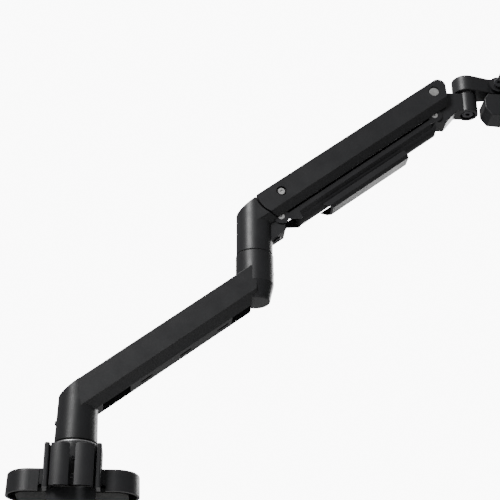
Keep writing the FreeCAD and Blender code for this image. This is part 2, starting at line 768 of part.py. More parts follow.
def make_elbow_bracket():
    """The turning bracket: a hub, a short sloping block with a cup for the upper arm, and a lug inside it."""
    body = new_body("elbow_bracket")
    axis, low, top = size("lower_reach"), size("bracket_bottom"), size("bracket_top")
    half, lug = size("arm_half_width") - 0.25, size("lug_half_width")
    rise = tangent(size("lower_slope"))
    end = 32.0
    under = top - size("bracket_depth")
    block = [(axis, under), (axis + end, under + rise * end), (axis + end, top + rise * end), (axis, top)]
    pad(body, "XZ", [block], half * 2, middle=True)
    soften(body, "Chamfer", size("bracket_chamfer"),
           lambda p, e: is_line(e) and near(abs(p.y), half.value) and p.z < 365 and near(p.x, 217.8 + 16, 1))
    revolve_at(body, axis, [(0, low), (half - 0.9, low), (half, low + 0.9), (half, top + 0.5), (0, top + 0.5)])
    wedge = [(axis - 40, top - rise * 40), (axis, top), (axis, top + 40), (axis - 40, top + 40)]
    pocket(body, "XZ", [wedge], half * 2 + 8, middle=True)
    x, z = size("lift_x"), size("lift_z")
    pocket(body, "XZ", [Circle(x, z, size("cup_radius"))], half * 2 + 8, middle=True)
    soften(body, "Fillet", 0.8, lambda p, e: near(math.hypot(p.x - x.value, p.z - z.value), 36.0, 0.02)
           and not is_line(e) and near(abs(p.y), half.value))
    ears = Circle(x, z - size("link_drop"), size("ear_radius") + 0.6)
    pocket(body, "XZ", [ears], size("ear_slot") * 2 + 1, middle=True)
    outline = [(axis, 342.8), (238.4, 342.8), (257.8, 357.5), (257.8, 385.0), (262.8, 405.0), (262.8, z),
               (x, z + 10.5, 10.5), (243.5, 407.6), (axis + 4, 393.0), (axis, 393.0)]
    pad(body, "XZ", [outline], lug * 2, middle=True)
    slot = [(243.0, 386.5), (270.0, 377.0), (270.0, 417.0), (259.0, 408.0), (252.3, 404.7), (243.0, 404.2)]
    pocket(body, "XZ", [slot], size("spring_slot") * 2, middle=True)
    bores = [Circle(x, z, 6.0), Circle(x, z - size("link_drop"), 3.26), Circle(x, z - size("anchor_drop"), 3.02)]
    pocket(body, "XZ", bores, lug * 2 + 2, middle=True)
    revolve_at(body, axis, [(0, low - 1), (size("elbow_shaft_radius") + 0.02, low - 1),
                            (size("elbow_shaft_radius") + 0.02, 357.05), (0, 357.05)], cut=True)
    cut_tension_hole(body)
    return node(body)


TENSION_PLACE = V(247.6, 0, 349.75)
TENSION_WAY = V(0.604, 0, -0.797)


def cut_tension_hole(body):
    """The counterbore of the tension screw, square to the lug's sloping underside."""
    way = TENSION_WAY
    start = TENSION_PLACE + way * 3
    for radius, depth in ((5.6, 5.4), (3.05, 26.0)):
        cut_round(body, start, way, radius, depth)


def cut_round(body, start, way, radius, depth):
    """A round hole from start against the direction way, as a subtractive cylinder."""
    before = body.Shape.Volume
    drill = body.newObject("PartDesign::SubtractiveCylinder", f"{body.Name}_drill")
    drill.setExpression("Radius", as_size(radius).text)
    drill.setExpression("Height", as_size(depth).text)
    drill.Placement = FreeCAD.Placement(start - way * depth, FreeCAD.Rotation(V(0, 0, 1), way))
    DOC.recompute()
    if body.Shape.Volume > before - 0.01:
        raise RuntimeError(f"a hole in {body.Label} cuts nothing")


def make_tension_screw():
    return node(socket_screw("tension_screw", 5.2, 4.6, 3.0, 18.0, 2.6,
                             turned_to(TENSION_WAY, TENSION_PLACE - TENSION_WAY * 2.4)))


def across(x, z):
    """A placement whose own +Z points to -Y, at a point of the XZ plane."""
    return turned_to(V(0, -1, 0), V(x, 0, z))


def pair(label, build, x, z):
    """Two mirrored pieces on one cross axis: build(name, placement) makes the one that faces its own +Z."""
    near_side = build(f"{label}_0", turned_to(V(0, -1, 0), V(x, 0, z)))
    far_side = build(f"{label}_1", turned_to(V(0, 1, 0), V(x, 0, z)))
    return node(group(label, [near_side, far_side]))


def make_anchor_pin():
    body = new_body("spring_anchor_pin", across(SIZES["lift_x"], SIZES["lift_z"] - SIZES["anchor_drop"]))
    length = size("lug_half_width") * 2 - 0.4
    pad(body, "XY", [Circle(0, 0, 3.0)], length, middle=True)
    soften(body, "Chamfer", 0.5, lambda p, e: abs(p.y) > -1 and not is_line(e))
    return node(body)


# ---------------------------------------------------------------- upper arm
LIFT = FreeCAD.Rotation(V(0, -1, 0), SIZES["lift_slope"])
LIFT_AT = V(SIZES["lift_x"], 0, SIZES["lift_z"])
LINK_AT = LIFT_AT - V(0, 0, SIZES["link_drop"])


def upper_place(origin=LIFT_AT, x=0.0, z=0.0):
    """The placement of a piece drawn along the sloping upper arm, with x and z counted from a pivot."""
    return FreeCAD.Placement(origin + LIFT.multVec(V(x, 0, z)), LIFT)


def make_upper_arm():
    """The inverted channel that hides the gas spring, drawn level with the lift pivot at its origin."""
    body = new_body("upper_arm", upper_place())
    top, side, chamfer = size("upper_top"), size("upper_side"), size("upper_chamfer")
    half, radius, length = size("arm_half_width"), size("upper_end_radius"), size("upper_length")
    low = side + chamfer
    start_top, start_low = 30.66, 22.82
    outline = [(-start_top, top), (-radius, 0, radius), (-start_low, -low, radius),
               (length + 4.6, -low), (length + 31.4, top)]
    pad(body, "XZ", [outline], half * 2, middle=True)
    soften(body, "Chamfer", chamfer, lambda p, e: along(e, V(1, 0, 0)) and near(p.z, -low.value))
    soften(body, "Fillet", 10.5, lambda p, e: along(e, V(0, 1, 0)) and p.x > 300 and p.z > 14)
    soften(body, "Fillet", 1.0, lambda p, e: along(e, V(1, 0, 0)) and near(p.z, top.value))
    tongue, ear, gap = size("tongue_slot"), size("ear_slot"), -13.2
    inner_top = top - 3.0
    pocket(body, "XZ", [rectangle(-40.0, -40.0, length + 40, inner_top)], tongue * 2, middle=True)
    pocket(body, "XZ", [rectangle(-40.0, -40.0, length + 40, gap)], ear * 2, middle=True)
    pocket(body, "XZ", [rectangle(length + 6, 5.0, length + 40, 20.0)], tongue * 2, middle=True)
    room = [(half - 3, inner_top), (half - 3, gap), (ear, gap - 6.0), (-ear, gap - 6.0), (3 - half, gap),
            (3 - half, inner_top)]
    pocket(body, "YZ", [room], length - 32, offset=16.0)
    pocket(body, "XZ", [Circle(0, 0, 4.03), Circle(length, 0, 7.03)], half * 2 + 2, middle=True)
    for way in (False, True):
        outer = half + 1
        pocket(body, "XZ", [Circle(0, 0, 7.0)], 5.0, offset=-outer if way else outer, back=not way)
        pocket(body, "XZ", [Circle(length, 0, 8.0)], 2.2, offset=-outer if way else outer, back=not way)
    return node(body)


def make_lift_shaft():
    body = new_body("lift_pivot_shaft", across(SIZES["lift_x"], SIZES["lift_z"]))
    pad(body, "XY", [Circle(0, 0, 4.0)], 40.4, middle=True)
    pocket(body, "XY", [Circle(0, 0, 2.5)], 12.0, offset=21.0, back=True)
    pocket(body, "XY", [Circle(0, 0, 2.5)], 12.0, offset=-21.0)
    return node(body)


def make_lift_screws():
    def build(name, place):
        moved = FreeCAD.Placement(place.multVec(V(0, 0, 20.25)), place.Rotation)
        return socket_screw(name, 4.9, 3.0, 2.45, 10.0, 2.3, moved)
    return pair("lift_pivot_screws", build, SIZES["lift_x"], SIZES["lift_z"])


def make_lift_bushes():
    def build(name, place):
        return flanged_bush(name, 4.05, 5.98, 8.4, 5.7, size("lug_half_width"), 0.6, place)
    return pair("lift_bushes", build, SIZES["lift_x"], SIZES["lift_z"])


HEAD_AT = LIFT_AT + LIFT.multVec(V(SIZES["upper_length"], 0, 0))
HEAD_LINK_AT = HEAD_AT - V(0, 0, SIZES["link_drop"])


def make_head_pin():
    body = new_body("head_pivot_pin", across(HEAD_AT.x, HEAD_AT.z))
    pad(body, "XY", [Circle(0, 0, 7.0)], 46.6, middle=True)
    soften(body, "Chamfer", 0.7, lambda p, e: not is_line(e))
    return node(body)


def make_head_bushes():
    def build(name, place):
        return flanged_bush(name, 7.05, 8.48, 10.4, 3.0, size("lug_half_width"), 0.6, place)
    return pair("head_bushes", build, HEAD_AT.x, HEAD_AT.z)


SPRING_X, SPRING_Z = 232.0, -2.0


def spring_place():
    """The gas spring's own frame: its origin is on its upper pin and its -X axis runs to the elbow anchor."""
    pin = upper_place(x=SPRING_X, z=SPRING_Z).Base
    anchor = LIFT_AT - V(0, 0, SIZES["anchor_drop"])
    angle = math.degrees(math.atan2(pin.z - anchor.z, pin.x - anchor.x))
    return FreeCAD.Placement(pin, FreeCAD.Rotation(V(0, -1, 0), angle)), (pin - anchor).Length


def make_spring_pin():
    pin = spring_place()[0].Base
    body = new_body("spring_upper_pin", across(pin.x, pin.z))
    pad(body, "XY", [Circle(0, 0, 3.5)], 42.4, middle=True)
    return node(body)


def make_spring_cylinder():
    place, _ = spring_place()
    body = new_body("gas_spring_cylinder", place)
    pad(body, "XZ", [Circle(0, 0, 7.5)], 9.0, middle=True)
    pad(body, "YZ", [Circle(0, 0, 4.0)], 12.0, offset=-16.0)
    pad(body, "YZ", [Circle(0, 0, 9.5)], 120.0, offset=-134.0)
    soften(body, "Fillet", 2.0, lambda p, e: not is_line(e) and near(p.x, -14.0))
    pocket(body, "XZ", [Circle(0, 0, 3.56)], 12.0, middle=True)
    pocket(body, "YZ", [Circle(0, 0, 4.06)], 116.0, offset=-135.0)
    return node(body)


def make_spring_rod():
    place, length = spring_place()
    body = new_body("gas_spring_rod", place)
    pad(body, "XZ", [Circle(-length, 0, 7.3)], 9.0, middle=True)
    pad(body, "YZ", [Circle(0, 0, 4.0)], length - 6.5 - 42.0, offset=6.5 - length)
    pocket(body, "XZ", [Circle(-length, 0, 5.3)], 12.0, middle=True)
    return node(body)


# ---------------------------------------------------------------- lower link
def make_lower_link():
    """The second bar of the parallelogram: two side plates joined by a web, drawn level from its elbow pivot."""
    body = new_body("lower_link", upper_place(LINK_AT))
    inner, outer, radius, length = size("ear_inner"), size("ear_outer"), size("ear_radius"), size("upper_length")
    plate = [(0, -8.2), (length, -8.2), (length, -2.0), (0, -2.0)]
    skirt = [(6.0, -8.9), (20.0, -18.0), (23.0, -18.0), (25.0, -8.0), (6.0, -8.0)]
    web_start, web_end = 19.0, length - 15.0
    section = [(-outer, -2.0), (-outer, -8.2), (-tube(), -12.5), (tube(), -12.5), (outer, -8.2), (outer, -2.0),
               (inner, -2.0), (inner, -7.8), (tube() - 0.8, -10.6), (0.8 - tube(), -10.6), (-inner, -7.8), (-inner, -2.0)]
    pad(body, "YZ", [section], web_end - web_start, offset=web_start)
    for side in (-1, 1):
        start = inner if side > 0 else -outer
        pad(body, "XZ", [plate], outer - inner, offset=start)
        pad(body, "XZ", [skirt], outer - inner, offset=start)
        pad(body, "XZ", [Circle(0, 0, radius)], outer - inner, offset=start)
        pad(body, "XZ", [Circle(length, 0, radius)], outer - inner, offset=start)
    pocket(body, "XZ", [Circle(0, 0, 3.22), Circle(length, 0, 3.22)], outer * 2 + 2, middle=True)
    for way in (False, True):
        face = outer + 1
        rings = [Circle(0, 0, 4.9), Circle(length, 0, 4.9)]
        pocket(body, "XZ", rings, 2.2, offset=-face if way else face, back=not way)
    return node(body)


def tube():
    return size("tube_radius")


def make_link_cover():
    """The half-round trough under the link."""
    body = new_body("link_cover", upper_place(LINK_AT))
    radius, centre, length = tube(), size("tube_centre"), size("upper_length")
    start, end, level, wall = 19.0, length - 7.3, -12.55, 1.8
    pad(body, "YZ", [Circle(0, -centre, radius)], end - start, offset=start)
    pocket(body, "XZ", [rectangle(start - 5, level, end + 5, 5.0)], radius * 2 + 4, middle=True)
    slant = [(end - 8.5, -centre - radius - 1), (end + 3, -centre - radius - 1), (end + 3, level - 0.5), (end, level - 0.5)]
    pocket(body, "XZ", [slant], radius * 2 + 4, middle=True)
    pocket(body, "YZ", [Circle(0, -centre, radius - wall)], end - start - 12, offset=start + 2)
    return node(body)


def make_cable_clip():
    """The open-ended cable guide under the link cover."""
    body = new_body("cable_clip", upper_place(LINK_AT))
    start, length = size("clip_start"), size("clip_length")
    top, low, wide, wall = -18.3, -29.8, 14.2, 2.0
    outer = [(-wide, top), (-wide, low + 4), (4.0 - wide, low), (wide - 4.0, low), (wide, low + 4), (wide, top),
             (wide - wall, top), (wide - wall, low + 4.8), (wide - 4.8, low + wall), (4.8 - wide, low + wall),
             (wall - wide, low + 4.8), (wall - wide, top)]
    pad(body, "YZ", [outer], length, offset=start)
    for place in (24.0, 114.0):
        rib = rectangle(start + place, top - 4.2, start + place + 5.0, top)
        pad(body, "XZ", [rib], (wide - wall) * 2 + 0.5, middle=True)
    trim = start + 12.0
    slant = [(start - 2, top + 1), (start - 2, low - 2), (trim, low - 2), (start, top + 1)]
    pocket(body, "XZ", [slant], wide * 2 + 4, middle=True)
    pocket(body, "YZ", [Circle(0, -size("tube_centre"), tube() + 0.05)], length + 4, offset=start - 2)
    return node(body)


def make_link_pins():
    """The rivet-like pins that join the link to the elbow lug and to the head tongue."""
    pins = []
    for number, at in enumerate((LINK_AT, HEAD_LINK_AT)):
        body = new_body(f"link_pin_{number}", across(at.x, at.z))
        half, head = size("ear_outer") - 0.1, 1.0
        revolve(body, [(0, -half), (4.6, -half), (4.6, head - half), (3.2, head - half), (3.2, half - head),
                       (4.6, half - head), (4.6, half), (0, half)])
        pocket(body, "XY", [hexagon(1.8)], 2.0, offset=half, back=True)
        pins.append(body)
    return node(group("link_pins", pins))


# ---------------------------------------------------------------- head
PAN_X = HEAD_AT.x + SIZES["pan_offset"]


def make_head_bracket():
    """The level bracket: a tongue between the arm's cheeks and an upright hub for the pan joint."""
    body = new_body("head_bracket")
    x, z = size("lift_x") + size("upper_length") * cosine(size("lift_slope")), HEAD_AT.z
    low = z - size("link_drop")
    lug, hub = size("lug_half_width"), size("hub_radius")
    pan = x + size("pan_offset")
    roof, floor, bottom = z + 6.75, low - 10.5, 557.0
    outline = [(x - 10.5, low), (x, floor, 10.5), (x + 16.5, floor), (x + 33.5, bottom), (pan, bottom), (pan, roof),
               (x + 9.5, roof), (x, z + 11.0), (x - 11.0, z, 11.0)]
    pad(body, "XZ", [outline], lug * 2, middle=True)
    soften(body, "Fillet", 1.0, lambda p, e: is_line(e) and near(abs(p.y), lug.value) and p.x > 490 and p.z > 560)
    top = size("knuckle_bottom") - 2.0
    revolve_at(body, pan, [(0, bottom), (hub - 0.8, bottom), (hub, bottom + 0.8), (hub, top - 0.8),
                           (hub - 0.8, top), (0, top)])
    revolve_at(body, pan, [(0, bottom - 1), (10.5, bottom - 1), (10.5, bottom + 6), (6.05, bottom + 6),
                           (6.05, top + 1), (0, top + 1)], cut=True)
    bores = [Circle(x, z, 8.5), Circle(x, low, 3.26)]
    pocket(body, "XZ", bores, lug * 2 + 2, middle=True)
    return node(body)


def make_pan_bolt():
    body = new_body("pan_bolt", FreeCAD.Placement(V(PAN_X, 0, 557.0), FreeCAD.Rotation()))
    pad(body, "XY", [hexagon(8.6)], 4.6, offset=1.4)
    pad(body, "XY", [Circle(0, 0, 6.0)], 46.0, offset=5.9)
    pocket(body, "XY", [hexagon(3.4)], 3.0, offset=1.3)
    return node(body)


def make_pan_washer():
    return node(ring_body("pan_washer", 6.1, 12.8, size("knuckle_bottom") - 2, size("knuckle_bottom"),
                          FreeCAD.Placement(V(PAN_X, 0, 0), FreeCAD.Rotation())))


def make_pan_nut():
    at = FreeCAD.Placement(V(PAN_X, 0, 0), FreeCAD.Rotation())
    body = new_body("pan_nut", at)
    pad(body, "XY", [hexagon(9.4), Circle(0, 0, 6.04)], 5.0, offset=604.0)
    return node(body)


def make_pan_cap():
    """The moulded cap that closes the top of the knuckle."""
    at = FreeCAD.Placement(V(PAN_X, 0, 0), FreeCAD.Rotation())
    body = new_body("pan_cap", at)
    top = size("knuckle_top")
    revolve(body, [(0, top - 2.2), (11.9, top - 2.2), (11.9, top - 0.6), (11.3, top), (0, top)])
    return node(body)


def make_pan_knuckle():
    """The arm that pans on the hub and carries the tilt joint at its far end."""
    body = new_body("pan_knuckle")
    pan, low, top = Size(PAN_X), size("knuckle_bottom"), size("knuckle_top")
    radius, tip = size("knuckle_radius"), 10.5
    run = size("tilt_x") - 11.0
    outline = [(pan - radius, 0, radius), (pan + 4.6, -18.23, radius), (run, -tip), (run, tip),
               (pan + 4.6, 18.23)]
    pad(body, "XY", [outline], top - low, offset=low)
    soften(body, "Fillet", 1.0, lambda p, e: p.x < run.value - 0.1 and not along(e, V(0, 0, 1)))
    eye = (top - low) / 2 - 0.3
    tilt_x, tilt_z = size("tilt_x"), size("tilt_z")
    pad(body, "XZ", [rectangle(run - 1.0, tilt_z - eye, tilt_x, tilt_z + eye)], tip * 2, middle=True)
    pad(body, "XZ", [Circle(tilt_x, tilt_z, eye)], tip * 2, middle=True)
    revolve_at(body, pan, [(0, low - 1), (6.07, low - 1), (6.07, 604.0), (12.0, 604.0), (12.0, top + 1),
                           (0, top + 1)], cut=True)
    pocket(body, "XZ", [Circle(tilt_x, tilt_z, 4.06)], tip * 2 + 2, middle=True)
    return node(body)


def make_tilt_washers():
    def build(name, place):
        return ring_body(name, 4.1, 10.6, 10.5, 12.0, place)
    return pair("tilt_washers", build, SIZES["tilt_x"], SIZES["tilt_z"])


def make_tilt_bracket():
    """Two cheeks outside the knuckle, a body that hangs below it and the flange that faces the screen."""
    body = new_body("tilt_bracket")
    x, z, plate = size("tilt_x"), size("tilt_z"), size("plate_x")
    cheek_in, cheek_out, face = 12.0, 16.0, plate - 6.0
    cheek = [(x - 12, z, 12.0), (x, z - 12.0, 12.0), (face, z - 14.0), (face, z + 14.0), (x, z + 12.0)]
    for side in (-1, 1):
        pad(body, "XZ", [cheek], cheek_out - cheek_in, offset=cheek_in if side > 0 else -cheek_out)
        if side < 0:
            lobe = [(x + 14, 548.0), (face, 552.0), (face, z + 14), (face - 3.5, z + 14), (face - 3.5, 585.0),
                    (x - 16, 585.0), (x - 22, 577.0), (x - 22, 562.0), (x - 14, 550.0)]
            pad(body, "XZ", [lobe], cheek_out * 2, middle=True)
    soften(body, "Fillet", 3.0, lambda p, e: along(e, V(0, 1, 0)) and p.z < 586 and p.x < x.value + 12)
    soften(body, "Fillet", 1.5, lambda p, e: near(abs(p.y), cheek_out) and p.z < 586 and p.x < x.value + 12
           and p.x < face.value - 2)
    pad(body, "YZ", [Circle(0, z, 23.0)], 4.0, offset=face)
    pocket(body, "XZ", [Circle(x, z, 4.04)], 60.0, middle=True)
    pocket(body, "YZ", [Circle(0, z, 8.05)], 12.0, offset=face - 5.0)
    return node(body)


def make_tilt_bolt():
    at = turned_to(V(0, -1, 0), V(SIZES["tilt_x"], -16.0, SIZES["tilt_z"]))
    return node(socket_screw("tilt_bolt", 7.0, 4.4, 4.0, 40.0, 3.2, at))


def make_tilt_nut():
    at = turned_to(V(0, 1, 0), V(SIZES["tilt_x"], 0, SIZES["tilt_z"]))
    body = new_body("tilt_nut", at)
    pad(body, "XY", [hexagon(7.5), Circle(0, 0, 4.05)], 6.5, offset=16.0)
    soften(body, "Chamfer", 0.5, lambda p, e: is_line(e) and near(p.y, 22.5, 0.2) or near(p.z, 22.5, 0.01))
    return node(body)


def make_rotation_washer():
    at = turned_to(V(1, 0, 0), V(0, 0, SIZES["tilt_z"]))
    return node(ring_body("rotation_washer", 8.2, 22.0, size("plate_x") - 2.0, size("plate_x"), at))


def make_rotation_boss():
    """The turned boss that holds the plate to the tilt bracket and lets it turn."""
    at = turned_to(V(1, 0, 0), V(0, 0, SIZES["tilt_z"]))
    body = new_body("rotation_boss", at)
    plate = size("plate_x")
    revolve(body, [(0, plate - 11.9), (8.0, plate - 11.9), (8.0, plate + 2.0), (16.0, plate + 2.0), (16.0, plate + 3.2),
                   (15.4, plate + 3.8), (0, plate + 3.8)])
    pocket(body, "XY", [hexagon(4.0)], 2.4, offset=plate + 3.8, back=True)
    return node(body)


def make_stop_ring():
    at = turned_to(V(1, 0, 0), V(0, 0, SIZES["tilt_z"]))
    body = new_body("rotation_stop_ring", at)
    pad(body, "XY", [Circle(0, 0, 10.5), Circle(0, 0, 8.03)], 2.2, offset=size("plate_x") - 11.8)
    return node(body)


def make_vesa_plate():
    """The square plate with both standard hole patterns and lightened corners."""
    body = new_body("vesa_plate")
    x, z, half, gauge = size("plate_x"), size("tilt_z"), size("plate_half"), size("plate_gauge")
    pad(body, "YZ", [rectangle(-half, z - half, half, z + half)], gauge, offset=x)
    soften(body, "Fillet", 9.0, lambda p, e: along(e, V(1, 0, 0)))
    holes = []
    for reach in (size("vesa_large"), size("vesa_small")):
        for a in (-1, 1):
            for b in (-1, 1):
                holes.append(Circle(reach * a, z + reach * b, size("vesa_hole")))
    pocket(body, "YZ", holes, gauge + 2, offset=x - 1)
    wide, tall, off = 17.0, 4.5, 41.0
    windows = [rectangle(-wide, z + off - tall, wide, z + off + tall),
               rectangle(-wide, z - off - tall, wide, z - off + tall),
               rectangle(-off - tall, z - wide, tall - off, z + wide),
               rectangle(off - tall, z - wide, off + tall, z + wide)]
    pocket(body, "YZ", windows, gauge + 2, offset=x - 1)
    soften(body, "Fillet", 3.0, lambda p, e: along(e, V(1, 0, 0)) and abs(p.y) < 46 and abs(p.z - z.value) < 46
           and is_line(e) and e.Length < 4.1 and max(abs(p.y), abs(p.z - z.value)) > 36)
    soften(body, "Fillet", 0.8, lambda p, e: near(p.x, x.value) and (near(abs(p.y), half.value) or
                                                                    near(abs(p.z - z.value), half.value)))
    pocket(body, "YZ", [Circle(0, z, 8.06)], gauge + 2, offset=x - 1)
    pocket(body, "YZ", [Circle(0, z, 16.3)], gauge, offset=x + 2.0)
    return node(body)


# ---------------------------------------------------------------- build and export
MAKERS = [
    make_desk_pad, make_clamp_bracket, make_post_bolts, make_lower_jaw, make_jaw_bolts, make_clamp_screw,
    make_clamp_knob, make_pressure_plate, make_pressure_pad, make_base_housing, make_base_post, make_base_collar,
    make_rear_cable_clip, make_clip_screws, make_lower_arm, make_lower_cable_cover, make_hub_screws,
    make_base_bushes, make_elbow_bushes, make_thrust_washers, make_elbow_shaft, make_elbow_bracket,
    make_tension_screw, make_anchor_pin, make_upper_arm, make_lift_shaft, make_lift_screws, make_lift_bushes,
    make_head_pin, make_head_bushes, make_spring_pin, make_spring_cylinder, make_spring_rod, make_lower_link,
    make_link_cover, make_cable_clip, make_link_pins, make_head_bracket, make_pan_bolt, make_pan_washer,
    make_pan_nut, make_pan_cap, make_pan_knuckle, make_tilt_washers, make_tilt_bracket, make_tilt_bolt,
    make_tilt_nut, make_rotation_washer, make_rotation_boss, make_stop_ring, make_vesa_plate,
]


def export_nodes():
    bad = [o.Label for o in DOC.Objects if "Invalid" in o.State or "Error" in o.State]
    if bad:
        raise RuntimeError(f"objects that failed: {bad}")
    os.makedirs("parts", exist_ok=True)
    for part in NODES:
        shape = part.Shape
        if shape.isNull() or not shape.isValid() or not shape.Solids:
            raise RuntimeError(f"{part.Label} has no valid solid")
        shape.exportStep(f"parts/{part.Label}.step")


fill_sheet()
for maker in MAKERS:
    maker()
DOC.recompute()
export_nodes()
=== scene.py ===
"""The sprung monitor arm: finishes, studio and the pieces that are finer than the CAD model's."""
import json
import math

import bpy
from mathutils import Matrix, Vector


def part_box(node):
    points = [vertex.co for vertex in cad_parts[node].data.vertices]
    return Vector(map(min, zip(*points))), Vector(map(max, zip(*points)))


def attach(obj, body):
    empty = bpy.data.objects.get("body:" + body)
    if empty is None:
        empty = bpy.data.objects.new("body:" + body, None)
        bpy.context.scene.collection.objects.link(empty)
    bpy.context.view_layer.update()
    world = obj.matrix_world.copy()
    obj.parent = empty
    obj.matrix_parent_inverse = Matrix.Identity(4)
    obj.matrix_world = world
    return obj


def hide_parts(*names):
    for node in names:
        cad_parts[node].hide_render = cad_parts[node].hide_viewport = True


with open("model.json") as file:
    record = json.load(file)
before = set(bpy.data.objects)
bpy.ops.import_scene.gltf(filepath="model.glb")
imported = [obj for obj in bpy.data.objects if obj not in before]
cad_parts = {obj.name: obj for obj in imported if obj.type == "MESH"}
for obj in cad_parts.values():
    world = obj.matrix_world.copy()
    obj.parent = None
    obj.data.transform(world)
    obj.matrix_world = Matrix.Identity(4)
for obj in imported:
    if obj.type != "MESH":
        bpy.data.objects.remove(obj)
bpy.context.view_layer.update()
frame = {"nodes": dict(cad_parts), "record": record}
NODES = frame["nodes"]
MM = 0.001


# ---------------------------------------------------------------- node helpers
class Finish:
    """A Principled material and short calls that wire procedural detail into it."""

    def __init__(self, name, **sockets):
        self.material = bpy.data.materials.new(name)
        self.material.use_nodes = True
        self.tree = self.material.node_tree
        self.shader = self.tree.nodes["Principled BSDF"]
        self.coords = self.tree.nodes.new("ShaderNodeTexCoord").outputs["Object"]
        for key, value in sockets.items():
            self.shader.inputs[key.replace("_", " ")].default_value = value

    def link(self, source, target):
        self.tree.links.new(source, target)

    def scaled(self, scale):
        mapping = self.tree.nodes.new("ShaderNodeMapping")
        mapping.inputs["Scale"].default_value = scale
        self.link(self.coords, mapping.inputs["Vector"])
        return mapping.outputs["Vector"]

    def noise(self, scale, detail=2.0, stretch=(1, 1, 1), rough=0.5):
        node = self.tree.nodes.new("ShaderNodeTexNoise")
        node.inputs["Scale"].default_value = scale
        node.inputs["Detail"].default_value = detail
        node.inputs["Roughness"].default_value = rough
        self.link(self.scaled(stretch), node.inputs["Vector"])
        return node.outputs["Fac"]

    def cells(self, scale):
        node = self.tree.nodes.new("ShaderNodeTexVoronoi")
        node.feature = "SMOOTH_F1"
        node.inputs["Scale"].default_value = scale
        node.inputs["Smoothness"].default_value = 0.6
        self.link(self.coords, node.inputs["Vector"])
        return node.outputs["Distance"]

    def spread(self, value, low, high, start=0.3, end=0.7):
        node = self.tree.nodes.new("ShaderNodeMapRange")
        node.inputs["From Min"].default_value = start
        node.inputs["From Max"].default_value = end
        node.inputs["To Min"].default_value = low
        node.inputs["To Max"].default_value = high
        self.link(value, node.inputs["Value"])
        return node.outputs["Result"]

    def tint(self, value, dark, light, start=0.3, end=0.7):
        node = self.tree.nodes.new("ShaderNodeValToRGB")
        node.color_ramp.elements[0].position = start
        node.color_ramp.elements[1].position = end
        node.color_ramp.elements[0].color = (*dark, 1)
        node.color_ramp.elements[1].color = (*light, 1)
        self.link(value, node.inputs["Fac"])
        self.link(node.outputs["Color"], self.shader.inputs["Base Color"])

    def gloss(self, value, low, high):
        self.link(self.spread(value, low, high), self.shader.inputs["Roughness"])

    def bump(self, layers):
        """layers holds (height, depth in millimetres, strength), the coarsest one first."""
        normal = None
        for height, depth, strength in layers:
            node = self.tree.nodes.new("ShaderNodeBump")
            node.inputs["Distance"].default_value = depth * MM
            node.inputs["Strength"].default_value = strength
            self.link(height, node.inputs["Height"])
            if normal is not None:
                self.link(normal, node.inputs["Normal"])
            normal = node.outputs["Normal"]
        self.link(normal, self.shader.inputs["Normal"])


# ---------------------------------------------------------------- finishes
def bluish(shade, neutral, blue):
    """A grey of the given shade, whose blue is a little stronger than its red and green."""
    return [shade * share for share in (neutral, neutral, blue)]


def powder_coat(name, shade, rough, grain):
    """Textured black powder coat: a fine orange peel over slightly uneven gloss."""
    f = Finish(name, Specular_IOR_Level=0.3)
    f.tint(f.noise(14, 3), bluish(shade, 0.9, 0.99), bluish(shade, 1.07, 1.18))
    f.gloss(f.noise(60, 4), rough - 0.04, rough + 0.05)
    f.bump([(f.noise(grain * 0.35, 2), 0.08, 0.25), (f.cells(grain), 0.06, 0.35)])
    return f.material


def moulded(name, shade, rough, grain):
    """Spark-textured black moulding."""
    f = Finish(name, Specular_IOR_Level=0.28)
    f.tint(f.noise(9, 2), bluish(shade, 0.92, 1.0), bluish(shade, 1.06, 1.16))
    f.gloss(f.noise(45, 4), rough - 0.05, rough + 0.05)
    f.bump([(f.noise(grain, 5, rough=0.65), 0.05, 0.4)])
    return f.material


def rubber(name):
    f = Finish(name, Specular_IOR_Level=0.3)
    f.tint(f.noise(30, 4), (0.012, 0.012, 0.012), (0.022, 0.022, 0.021))
    f.gloss(f.noise(90, 4), 0.72, 0.88)
    f.bump([(f.cells(1200), 0.08, 0.5)])
    return f.material


def bare_metal(name, dark, light, rough, stretch):
    """Turned or drawn metal: fine lines across the stretched directions."""
    f = Finish(name, Metallic=1.0)
    lines = f.noise(420, 3, stretch=stretch)
    f.tint(lines, dark, light, 0.25, 0.75)
    f.gloss(f.noise(120, 5), rough - 0.06, rough + 0.08)
    f.bump([(lines, 0.015, 0.3)])
    return f.material


def oxide(name):
    f = Finish(name, Metallic=0.75)
    f.tint(f.noise(160, 4), (0.03, 0.03, 0.033), (0.055, 0.055, 0.06))
    f.gloss(f.noise(260, 4), 0.3, 0.45)
    f.bump([(f.noise(900, 3), 0.02, 0.3)])
    return f.material


def smooth_paint(name):
    f = Finish(name, Specular_IOR_Level=0.5, Coat_Weight=0.3, Coat_Roughness=0.12)
    f.tint(f.noise(20, 3), (0.011, 0.011, 0.012), (0.016, 0.016, 0.017))
    f.gloss(f.noise(70, 4), 0.2, 0.3)
    f.bump([(f.noise(240, 3), 0.02, 0.2)])
    return f.material


FINISHES = {
    "painted_casting": powder_coat("cast_powder_coat", 0.012, 0.42, 1500),
    "painted_steel": powder_coat("steel_powder_coat", 0.011, 0.4, 1900),
    "moulding": moulded("black_moulding", 0.013, 0.4, 1500),
    "bearing_plastic": moulded("bearing_plastic", 0.05, 0.5, 2200),
    "rubber": rubber("black_rubber"),
    "bright_steel": bare_metal("bright_steel", (0.48, 0.48, 0.48), (0.62, 0.62, 0.62), 0.3, (1, 1, 6)),
    "collar_metal": bare_metal("satin_aluminium", (0.4, 0.4, 0.41), (0.52, 0.52, 0.53), 0.38, (0.3, 0.3, 12)),
    "plated_screws": bare_metal("plated_steel", (0.5, 0.5, 0.5), (0.66, 0.66, 0.65), 0.34, (1, 1, 1)),
    "black_screws": oxide("black_oxide"),
    "gas_spring_body": smooth_paint("smooth_black_paint"),
}


